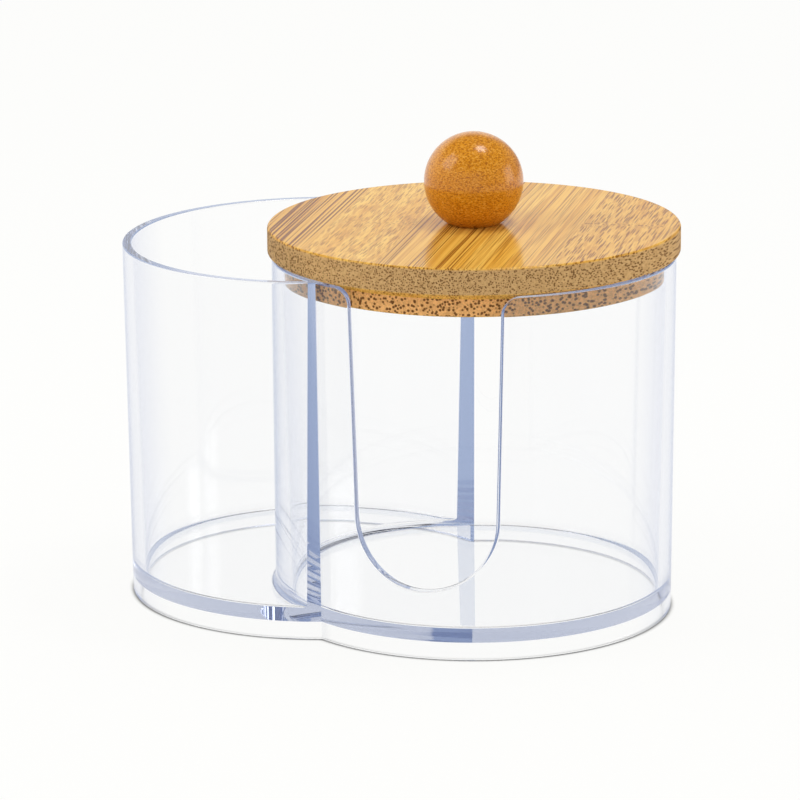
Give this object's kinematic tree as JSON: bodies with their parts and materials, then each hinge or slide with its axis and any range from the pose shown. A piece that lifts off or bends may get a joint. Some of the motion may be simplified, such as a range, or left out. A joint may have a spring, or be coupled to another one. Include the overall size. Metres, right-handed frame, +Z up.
{
  "type": "dual compartment cotton organizer",
  "caption": "Clear tub with a round main compartment and a crescent side compartment, a tall finger slot, and a bamboo lid with a ball knob.",
  "frame": {"origin": "on the table, under the middle of the whole object", "axes": "+Z up, +X from the side compartment towards the main one, the finger slot faces the front, -Y"},
  "size_m": [0.143, 0.102, 0.1204],
  "materials": {
    "clear_plastic": "clear moulded plastic, polished",
    "bamboo": "satin bamboo laid in strips",
    "lacquered_wood": "turned and clear lacquered",
    "screw_steel": "zinc plated"
  },
  "bodies": {
    "tub": {"tub": "clear_plastic"},
    "lid": {"lid": "bamboo", "knob": "lacquered_wood", "knob_screw": "screw_steel"}
  },
  "joints": [
    {"name": "lid_lift", "type": "slide", "parent": "tub", "child": "lid", "axis": [0, 0, 1], "range_m": [0, 0.06]}
  ]
}
